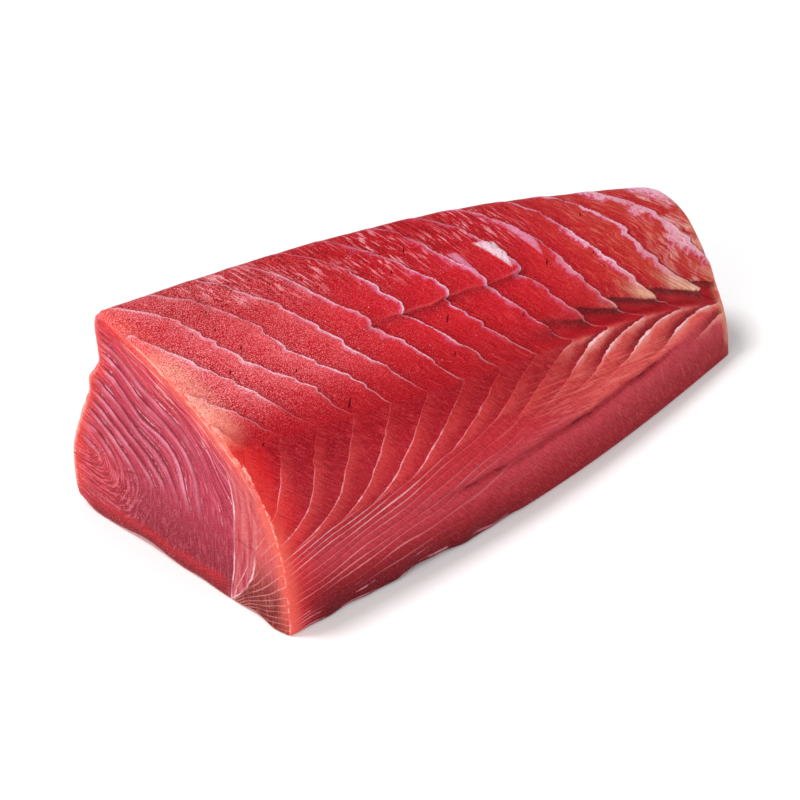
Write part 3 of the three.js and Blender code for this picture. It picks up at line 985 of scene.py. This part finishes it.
# The crease is painted shade with a darker painted crack in it, and the foot is in painted shade with a few
# wet lines painted as highlights.
crease_gap = k.size(k.plus(s_crease, k.times(jitter, 1.4)))
crease_here = k.times(k.ramp(s_x, 55, 80), k.ramp(s_x, 192, 176))
front.lay(srgb(128, 8, 22), k.ramp(crease_gap, 3.2, 0.2), crease_here, 0.5)
front.lay(srgb(84, 0, 12), k.ramp(crease_gap, 0.7, 0.1), crease_here, k.ramp(patchy, 0.45, 0.58, 0.1, 0.85))
at_foot = k.ramp(k.plus(s_up, k.times(s_x, 0.0008)), 0.34, 0.06)
front.lay(srgb(74, 0, 12), at_foot, k.ramp(s_x, 3, 16), k.ramp(s_x, 125, 80, 0.25, 0.95))
wet_highlight_line = k.times(k.ramp(k.off(low_phase, 0.5), 0.14, 0.03), k.ramp(s_up, 0.16, 0.1), k.ramp(s_x, 110, 70))
front.lay(srgb(226, 150, 162), wet_highlight_line, k.ramp(patchy, 0.45, 0.55), 0.7)
outside = Coats(tint(top_side, front.colour, top.colour))

# The near rim is warmer and paler where the thin edge lets light through, and the far rim dries brown.
warm_colour = tint(top_side, srgb(214, 56, 48), srgb(232, 78, 62))
outside.lay(warm_colour, k.ramp(s_x, 9, 0.5), k.ramp(ragged, 0.3, 0.6, 0.4, 1), 0.75)
salmon = k.times(k.ramp(s_x, 12, 1), k.ramp(s_fold, 46, 30), k.ramp(s_fold, 0, 9))
outside.lay(srgb(248, 164, 142), salmon, k.ramp(phase, 0.0, 0.5, 0.5, 1), 0.85)
corner_glow = k.times(k.ramp(k.plus(s_x, k.times(jitter, 1.5)), 7, 0.5), k.ramp(s_fold, -20, -30))
outside.lay(srgb(236, 104, 88), corner_glow, k.ramp(patchy, 0.3, 0.6, 0.25, 0.7))
pale_rim = k.times(k.ramp(k.plus(s_x, k.times(jitter, 1.8)), 1.2, 0.1), k.ramp(mottle, 0.42, 0.58, 0.1, 0.85))
outside.lay(srgb(244, 182, 166), pale_rim, k.ramp(s_fold, 30, 20))
far_rim = k.ramp(k.plus(s_x, k.times(jitter, 1.2)), 225, 230)
outside.lay(srgb(222, 158, 122), far_rim, k.ramp(patchy, 0.35, 0.6, 0.1, 0.8))

# The cut ends: mauve muscle, smooth low down and streaked by its rings above.
c_y, c_z, c_rim = (field(name) for name in ("cut_y", "cut_z", "rim_depth"))
ring, ring_width = field("ring"), field("ring_width")
swirl = strands(k.times(ring, 8.0), k.plus(k.times(c_z, 0.14), k.times(c_y, -0.14)))
face = Coats(tint(k.ramp(c_z, 42, 8), srgb(172, 52, 80), srgb(110, 8, 36)))
face.lay(srgb(200, 44, 50), k.ramp(c_y, 66, 98), k.ramp(c_z, 4, 20, 0.5, 0.9))
face.lay(srgb(204, 44, 56), k.ramp(c_z, 50, 74, 0, 0.8))
calm = k.times(k.ramp(c_z, 42, 26), k.ramp(c_y, 80, 62))
streaky = k.rest(k.times(calm, 0.85))
face.lay(srgb(218, 108, 132), k.ramp(swirl, 0.5, 0.6), streaky, 0.7)
face.lay(srgb(116, 6, 34), k.ramp(swirl, 0.5, 0.4), streaky, 0.8)
upright = strands(k.times(c_y, 1.3), k.times(c_z, 0.16))
face.lay(srgb(214, 108, 128), k.ramp(upright, 0.5, 0.66), calm, 0.4)
face.lay(srgb(116, 8, 34), k.ramp(upright, 0.5, 0.34), calm, 0.4)

# Each ring has a pale lip and then a dark gap, which gapes in the middle of the face. The pale lip is a
# painted highlight; the darkening just outside each gap and the gaping gap itself are painted shade; the
# glints are painted highlights.
ring_phase = k.phase(k.plus(ring, k.over(k.times(jitter, 0.3), ring_width)))
ring_after, ring_before = k.times(ring_phase, ring_width), k.times(k.rest(ring_phase), ring_width)
ring_near = k.least(ring_after, ring_before)
in_middle = k.times(k.ramp(k.off(c_y, 62.0), 20, 6), k.ramp(k.off(c_z, 46.0), 18, 6))
narrow_or_wide = k.ramp(k.noise(spot, 80.0, 2.0), 0.4, 0.62, 0.25, 1.4)
gape_width = k.plus(narrow_or_wide, k.times(in_middle, k.ramp(patchy, 0.4, 0.6, 0, 0.9)))
gaping = k.times(k.ramp(c_z, 24, 36), k.ramp(c_y, 30, 50), k.ramp(ring, 9.6, 8.2), k.ramp(c_rim, 1, 6))
face.lay(srgb(146, 10, 56), k.ramp(ring_after, 2.6, 0.4), gaping, 0.6)
face.lay(srgb(224, 148, 172), k.ramp(ring_before, 3.2, 0.9), gaping, k.ramp(patchy, 0.35, 0.6, 0.3, 0.85))
face.lay(srgb(112, 2, 40), k.ramp(k.over(ring_near, gape_width), 1.0, 0.4), gaping, 0.95)
hair_gap = k.times(k.ramp(ring_near, 0.5, 0.12), k.ramp(c_z, 16, 34, 0.05, 1), k.ramp(c_y, 30, 60, 0.2, 1))
face.lay(srgb(112, 2, 24), hair_gap, k.ramp(patchy, 0.4, 0.6, 0.25, 0.9))
pale_loop = k.times(k.ramp(k.off(ring_before, 0.9), 0.7, 0.1), k.ramp(c_y, 50, 74), k.ramp(c_z, 40, 26))
face.lay(srgb(222, 126, 136), pale_loop, k.ramp(patchy, 0.4, 0.62, 0.05, 0.35))
glint = k.times(k.ramp(k.off(ring_after, 0.75), 0.34, 0.08), k.ramp(mottle, 0.42, 0.54), k.ramp(c_z, 24, 36))
face.lay(srgb(252, 206, 218), glint, k.ramp(patchy, 0.45, 0.6), 0.7)

# The orange-red border, painted warm as light coming through the thin edge, with fine lines and a shine along
# the edge, a wet foot and a crack.
border_width = k.times(k.ramp(patchy, 0.3, 0.7, 6, 10), k.ramp(c_y, 30, 60, 1.2, 1))
border_colour = Coats(tint(k.ramp(c_y, 84, 44), srgb(222, 40, 36), srgb(236, 96, 80)))
border_colour.lay(srgb(244, 150, 122), k.ramp(swirl, 0.45, 0.62, 0, 0.35))
border = k.times(k.ramp(k.over(c_rim, border_width), 1.0, 0.1), k.ramp(c_z, 3, 14, 0.35, 1))
face.lay(border_colour.colour, border, k.ramp(s_x, 150, 50, 0.3, 0.9))
edge_phase = k.phase(k.plus(k.times(c_rim, 0.34), k.times(jitter, 0.12)))
edge_line = k.times(k.ramp(k.off(edge_phase, 0.5), 0.14, 0.05), k.ramp(c_rim, 12, 8), k.ramp(c_y, 78, 66))
face.lay(srgb(250, 190, 190), edge_line, k.ramp(c_z, 26, 40), k.ramp(patchy, 0.4, 0.6, 0.15, 0.7))
edge_shine = k.times(k.ramp(k.plus(c_rim, k.times(jitter, 1.2)), 3.2, 0.6), k.ramp(c_z, 3, 14))
flecked = k.most(k.ramp(c_y, 80, 90), k.ramp(mottle, 0.42, 0.58, 0.1, 0.6))
face.lay(srgb(248, 184, 162), edge_shine, k.ramp(patchy, 0.35, 0.55, 0.35, 0.9), flecked)
wet_foot = k.times(k.ramp(k.plus(c_z, k.times(jitter, 2.4)), 9.5, 5.5), k.ramp(c_y, 26, 32))
wet_colour = tint(k.ramp(c_z, 7, 2), srgb(176, 16, 26), srgb(104, 0, 12))
face.lay(wet_colour, wet_foot, k.ramp(c_y, 101, 92), k.ramp(s_x, 150, 50, 0.2, 0.8))
crack_height = k.plus(k.ramp(c_y, 100, 60, 21, 30), k.times(jitter, 1.6))
crack = k.times(k.ramp(k.size(k.less(c_z, crack_height)), 0.5, 0.1), k.ramp(c_y, 64, 70))
face.lay(srgb(110, 4, 20), crack, k.ramp(patchy, 0.38, 0.55, 0.2, 0.9))

# The sinews in front of the rings, and the thin strips that fan out from their foot.
inner, outer = field("inner_sinew"), field("outer_sinew")
in_front = k.ramp(k.plus(inner, k.times(jitter, 0.6)), 0.6, -0.6)
fan = Coats(tint(k.ramp(c_z, 30, 8), srgb(200, 84, 86), srgb(82, 14, 8)))
fan.lay(srgb(232, 150, 140), k.ramp(upright, 0.48, 0.66, 0, 0.22))
fan_glow = k.times(k.ramp(k.plus(c_rim, jitter), 6, 0.5), k.ramp(s_x, 150, 50, 0.2, 0.8))
fan.lay(srgb(232, 104, 88), fan_glow, k.ramp(c_z, 0, 12, 0.4, 1))
fan_phase = k.phase(k.plus(field("fan"), k.times(k.less(patchy, 0.5), 0.9)))
fan_gap = k.times(k.nearest(fan_phase), field("fan_width"))
fan.lay(srgb(230, 164, 150), k.ramp(fan_gap, 0.3, 0.06), k.ramp(patchy, 0.35, 0.6, 0.1, 0.5))
face.lay(fan.colour, in_front, k.ramp(outer, 0.3, -0.3))
sinew_strands = strands(k.times(inner, 0.55), k.times(c_z, 0.05))
sinew = Coats(tint(k.ramp(c_z, 10, 34), srgb(168, 60, 82), srgb(194, 84, 88)))
sinew.lay(srgb(228, 140, 136), k.ramp(sinew_strands, 0.46, 0.62, 0, 0.5))
sinew.lay(srgb(156, 24, 44), k.ramp(sinew_strands, 0.48, 0.36, 0, 0.7))
between_sinews = k.times(in_front, k.ramp(outer, -0.5, 0.5), k.ramp(c_z, 60, 42), 0.9)
face.lay(sinew.colour, between_sinews)
cross_crack = k.ramp(k.size(k.plus(k.less(c_z, 27.0), jitter)), 0.5, 0.1)
face.lay(srgb(128, 22, 30), cross_crack, between_sinews, 0.6)
middle = k.plus(inner, k.ramp(c_z, 2, 22, 1.5, 6))
for line, width, top_end in ((inner, 0.5, 62), (outer, 0.6, 40), (middle, 0.3, 30)):
    on_line = k.ramp(k.size(k.plus(line, k.times(jitter, 0.8))), width, width * 0.3)
    sinew_line = k.times(on_line, k.ramp(c_z, top_end, top_end - 26), k.ramp(patchy, 0.35, 0.6, 0.2, 1))
    face.lay(srgb(242, 204, 210), sinew_line, 0.85)

# Wet grain all over, palest on top of the thick end, and a few sparkles.
on_cut = k.ramp(field("cut"), 0.45, 0.6)
whole = Coats(tint(on_cut, outside.colour, face.colour))
on_top = k.times(k.ramp(s_fold, -4, 20), k.rest(on_cut))
top_grain = k.times(on_top, k.ramp(s_x, 120, 10, 0.2, 0.46), k.ramp(broad, 0.36, 0.6, 0.6, 1.05))
grainy = k.plus(top_grain, k.ramp(on_cut, 0, 1, 0.27, 0.42))
grain_colour = tint(k.times(near_end, on_top), srgb(224, 72, 80), srgb(252, 158, 164))
whole.lay(srgb(150, 0, 16), k.ramp(mottle, 0.5, 0.36), grainy, 0.35)
whole.lay(grain_colour, k.ramp(grain, 0.5, 0.64), grainy)
whole.lay(srgb(150, 0, 16), k.ramp(grain, 0.5, 0.36), grainy, 0.9)
sparkle = k.times(k.ramp(speck, 0.66, 0.72), k.ramp(patchy, 0.45, 0.6), k.ramp(s_up, 0.3, 0.6))
whole.lay(srgb(255, 214, 214), sparkle, k.ramp(s_fold, -2, 20, 0.2, 0.8), k.ramp(s_x, 120, 70, 0.3, 1))

finish = skin.nodes.new("ShaderNodeBsdfPrincipled")
skin.links.new(whole.colour, finish.inputs["Base Color"])
finish.inputs["Roughness"].default_value = 0.4
finish.inputs["Specular IOR Level"].default_value = 0.04
finish.inputs["Subsurface Weight"].default_value = 0.08
finish.inputs["Subsurface Radius"].default_value = (1.0, 0.25, 0.2)
finish.inputs["Subsurface Scale"].default_value = 2 * MM
finish.inputs["Coat Weight"].default_value = 0.12
finish.inputs["Coat Roughness"].default_value = 0.12
bump = skin.nodes.new("ShaderNodeBump")
bump.inputs["Strength"].default_value = 0.7
bump.inputs["Distance"].default_value = 0.3 * MM
skin.links.new(k.plus(grain, k.times(mottle, 0.5)), bump.inputs["Height"])
skin.links.new(bump.outputs["Normal"], finish.inputs["Normal"])
skin.links.new(bump.outputs["Normal"], finish.inputs["Coat Normal"])
surface = skin.nodes.new("ShaderNodeOutputMaterial")
skin.links.new(finish.outputs[0], surface.inputs["Surface"])

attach(loin, "root")
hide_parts("tuna_loin")


# ---------------------------------------------------------------- the vessel marks
# Stubs of small blood vessels, cut off where they came out between the flakes. Each is a dark sliver
# of dried blood a few millimetres long, stuck in the flesh's surface.

# Distance along, distance round from the fold and length, in millimetres.
MARKS = [
    (18.6, 25.1, 2.4), (28, 31.7, 2.0), (25.6, 40.9, 1.6), (48, 4, 5.2), (52.5, 13, 2.2), (38.6, 18.6, 1.8),
    (12, -0.5, 2.0), (95, 38, 2.0), (106.2, 43.6, 3.0), (101, 18.6, 4.2), (154, 24.8, 3.6), (176, 23, 1.6),
    (184.6, 37.2, 3.2), (222.8, -9.7, 2.4), (95, 8, 2.0), (130, 12, 1.6),
]
MARK_WIDTH = 0.6
MARK_LEAN = math.radians(44)
MARK_SUNK = 0.02
MARK_GIRDLES = ((0.3, 1), (0.6, 0.7))  # how far along the sliver, and its share of the width there

flesh_tree = BVHTree.FromPolygons([v.co for v in shaped.vertices], [p.vertices for p in shaped.polygons])


def on_flesh(x, girth):
    """The spot and outward direction on the flesh at a distance along and round, in metres."""
    to_shoulder = FOLD_AT * top_width(x)
    across = max(girth, -to_shoulder) / top_width(x) + FOLD_AT
    up = 1 + min(girth + to_shoulder, 0) / front_height(x)
    spot = block_point(*(np.array([share]) for share in (x / LENGTH, across, up)))[0]
    return flesh_tree.find_nearest(Vector((spot + TO_FRAME) * MM))[:2]


mark_points, mark_faces = [], []
for along_mm, round_mm, length in MARKS:
    reach_x, reach_round = length / 2 * math.cos(MARK_LEAN), length / 2 * math.sin(MARK_LEAN)
    tip, tail = (on_flesh(along_mm + side * reach_x, round_mm + side * reach_round)[0] for side in (-1, 1))
    outward = on_flesh(along_mm, round_mm)[1]
    rise = outward * MARK_WIDTH * MM / 2
    sideways = (tail - tip).cross(outward).normalized() * MARK_WIDTH * MM / 2
    sunk = outward * MARK_SUNK * MM
    first = len(mark_points)
    mark_points += [tip - sunk, tail - sunk]
    for share, width in MARK_GIRDLES:
        middle = tip.lerp(tail, share) - sunk
        mark_points += [middle + side * width for side in (sideways, rise, -sideways, -rise)]
    for corner in range(4):
        a, b = first + 2 + corner, first + 2 + (corner + 1) % 4
        mark_faces += [(first, b, a), (a, b, b + 4, a + 4), (first + 1, a + 4, b + 4)]

mark_mesh = bpy.data.meshes.new("vessel_marks")
mark_mesh.from_pydata(mark_points, [], mark_faces)
marks = bpy.data.objects.new("vessel_marks", mark_mesh)
bpy.context.collection.objects.link(marks)
blood = bpy.data.materials.new("dried blood")
blood.use_nodes = True
clot = blood.node_tree.nodes["Principled BSDF"]
clot.inputs["Base Color"].default_value = srgb(64, 6, 12)
clot.inputs["Roughness"].default_value = 0.7
clot.inputs["Specular IOR Level"].default_value = 0.05
mark_mesh.materials.append(blood)
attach(marks, "root")
